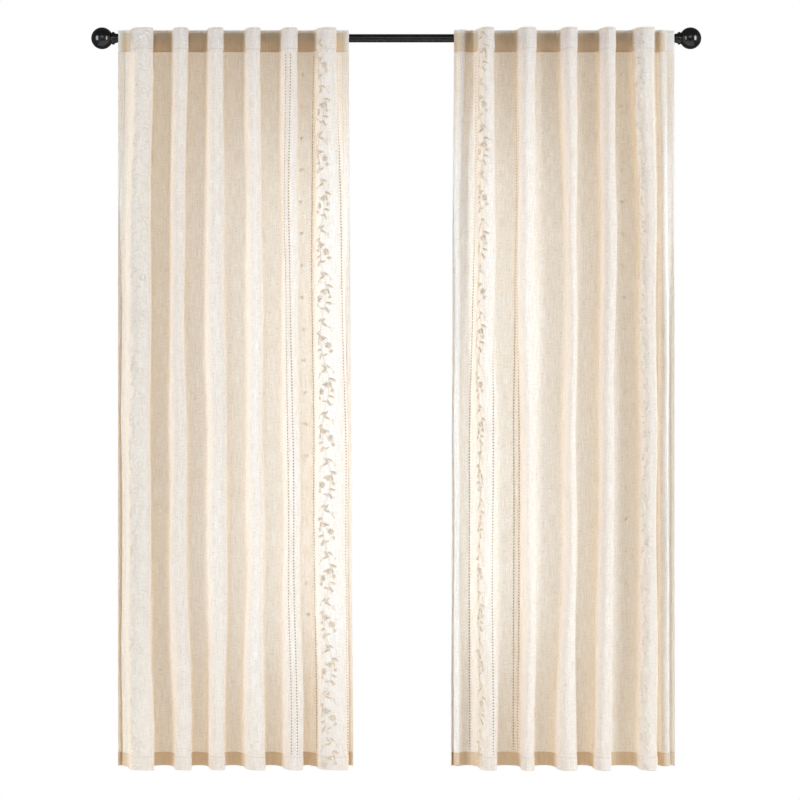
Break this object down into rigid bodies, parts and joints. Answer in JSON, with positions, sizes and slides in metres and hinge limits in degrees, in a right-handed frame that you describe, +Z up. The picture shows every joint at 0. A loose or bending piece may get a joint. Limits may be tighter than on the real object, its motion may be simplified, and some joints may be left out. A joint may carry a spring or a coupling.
{
  "type": "pair of back-tab curtains on a curtain rod with ball finials",
  "caption": "Semi-sheer cream linen-look curtain panels with embroidered vine borders, hung by back tabs on a round black rod with ball finials.",
  "frame": {"origin": "the rod's centre, halfway along it", "axes": "+X right along the rod, +Y to the back towards the wall, +Z up; the front faces -Y"},
  "size_m": [1.769, 0.1241, 2.1445],
  "materials": {
    "black_steel": "satin black enamel on a round steel tube",
    "black_finial": "semi-gloss black enamel on a turned ball",
    "curtain_cloth": "slubbed plain weave in cream, semi-sheer, with self-coloured embroidery and drawn-thread rows",
    "tab_cloth": "the same cream plain weave, folded to a narrow tape"
  },
  "bodies": {
    "root": {"rod": "black_steel", "finial_left": "black_finial", "finial_right": "black_finial", "panel_left": "curtain_cloth", "panel_right": "curtain_cloth", "tab_left_1": "tab_cloth", "tab_left_2": "tab_cloth", "tab_left_3": "tab_cloth", "tab_left_4": "tab_cloth", "tab_left_5": "tab_cloth", "tab_left_6": "tab_cloth", "tab_left_7": "tab_cloth", "tab_right_1": "tab_cloth", "tab_right_2": "tab_cloth", "tab_right_3": "tab_cloth", "tab_right_4": "tab_cloth", "tab_right_5": "tab_cloth", "tab_right_6": "tab_cloth"}
  },
  "joints": []
}
